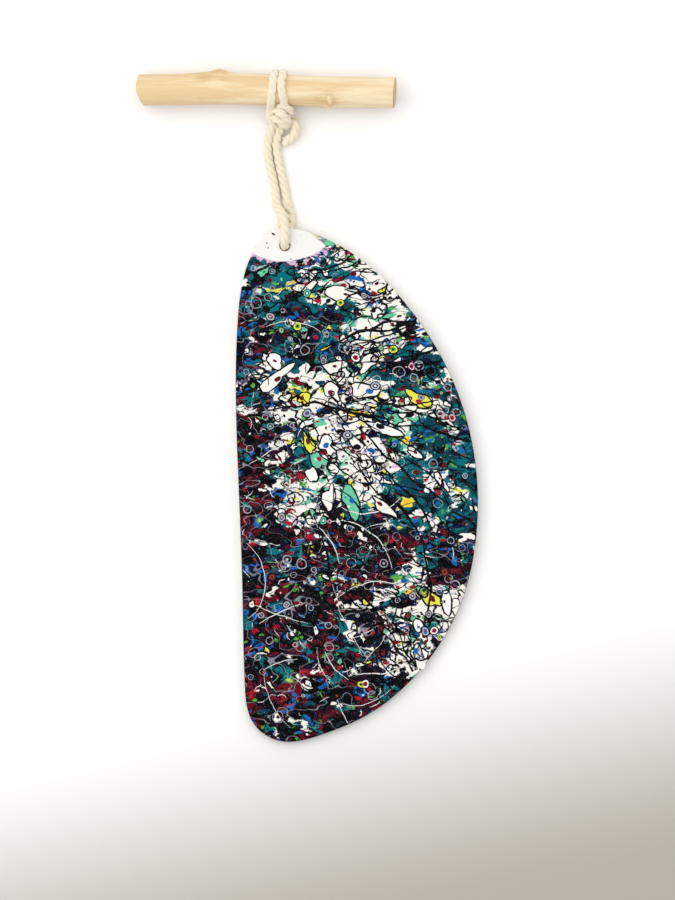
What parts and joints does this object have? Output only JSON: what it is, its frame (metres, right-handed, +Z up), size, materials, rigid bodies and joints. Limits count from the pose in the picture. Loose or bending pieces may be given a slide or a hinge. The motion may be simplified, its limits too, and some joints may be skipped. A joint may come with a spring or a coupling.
{
  "type": "painted hanging board",
  "caption": "Thin half-moon board with a painted face, on a doubled cotton cord through its hole, tied round a short peeled stick.",
  "frame": {"origin": "centre of the board and stick's footprint, on the flat surface that they lie on", "axes": "+Z up from that surface towards the painted face, +Y along the board from its foot to the stick, +X to the right along the stick"},
  "size_m": [0.1364, 0.2695, 0.0177],
  "materials": {
    "painted_board": "satin acrylic paint over white ground",
    "peeled_wood": "bare, smooth peeled wood",
    "cotton_cord": "matte twisted cotton"
  },
  "bodies": {
    "blade": {"board": "painted_board"},
    "bight": {"cord_bight": "cotton_cord", "cord_leg_left_lower": "cotton_cord", "cord_leg_right_lower": "cotton_cord"},
    "hitch": {"cord_leg_left_upper": "cotton_cord", "cord_leg_right_upper": "cotton_cord", "cord_knot": "cotton_cord", "cord_tail": "cotton_cord", "cord_hitch_turn_left": "cotton_cord", "cord_hitch_turn_right": "cotton_cord"},
    "handle": {"stick": "peeled_wood"}
  },
  "joints": [
    {"name": "blade_swing", "type": "hinge", "parent": "blade", "child": "bight", "pos_m": [-0.0089, 0.064, 0.0055], "axis": [0, -0.0198, 0.9998], "range_deg": [-45, 45]},
    {"name": "cord_fold", "type": "hinge", "parent": "bight", "child": "hitch", "pos_m": [-0.0118, 0.091, 0.0017], "axis": [1, 0, 0], "range_deg": [-135, 135], "deforming": ["cord_leg_left_upper", "cord_leg_right_upper", "cord_leg_left_lower", "cord_leg_right_lower"]},
    {"name": "stick_roll", "type": "hinge", "parent": "hitch", "child": "handle", "pos_m": [-0.0117, 0.1265, 0.00885], "axis": [1, 0, 0], "continuous": true}
  ]
}
